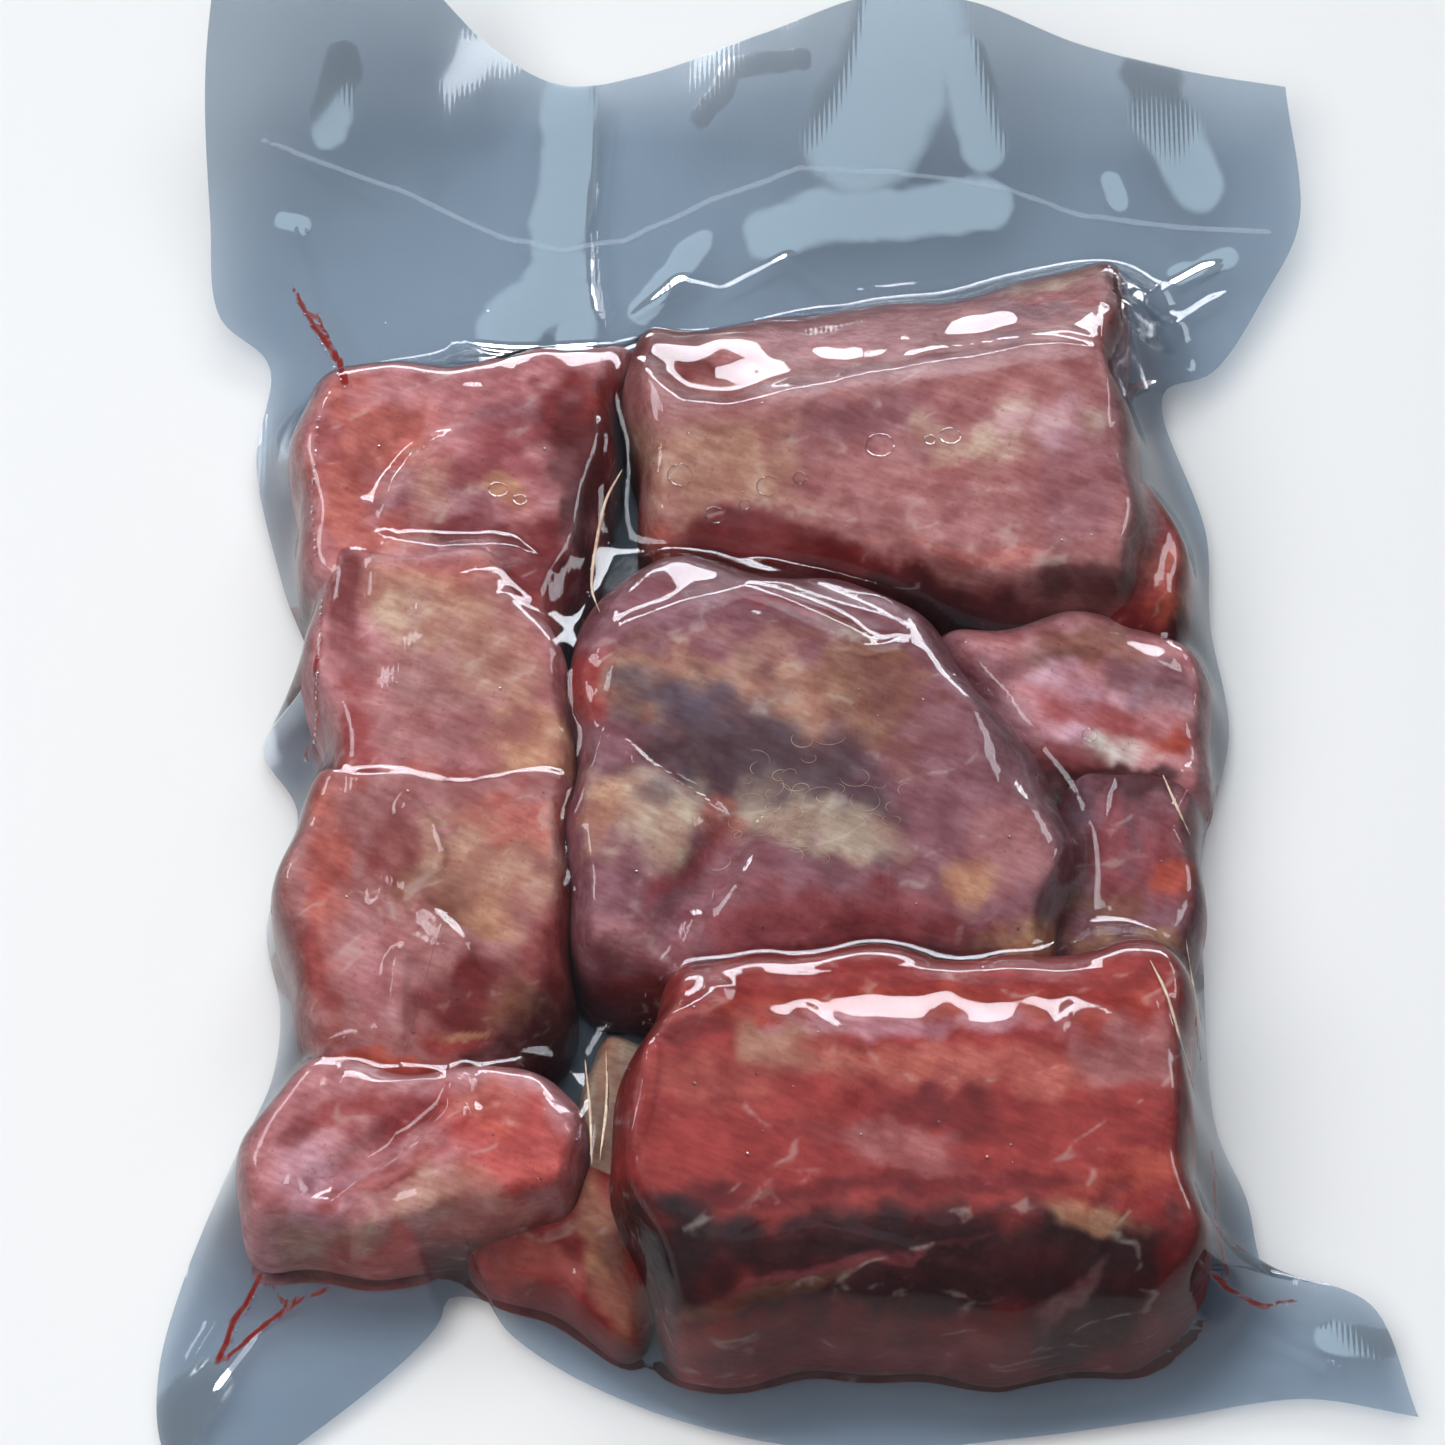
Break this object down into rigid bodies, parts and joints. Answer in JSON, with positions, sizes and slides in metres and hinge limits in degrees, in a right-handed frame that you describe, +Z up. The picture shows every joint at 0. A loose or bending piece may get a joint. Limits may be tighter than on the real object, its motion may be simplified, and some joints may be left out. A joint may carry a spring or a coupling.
{
  "type": "vacuum-packed veal neck bones",
  "caption": "Clear embossed vacuum bag drawn tight over chunky raw pieces of veal neck laid side by side, with a wavy raised mouth, a thin sealed margin and pointed bottom corners.",
  "frame": {"origin": "under the middle of the pack's bounding box, on the table it lies on", "axes": "+X across the bag to its right side, +Y along the bag to its mouth, +Z up"},
  "size_m": [0.2772, 0.3824, 0.0566],
  "materials": {
    "film": "clear glossy film over wet raw meat",
    "meat": "wet raw veal with pale sinew and fat"
  },
  "bodies": {
    "root": {"vacuum_pack": "film"}
  },
  "joints": []
}
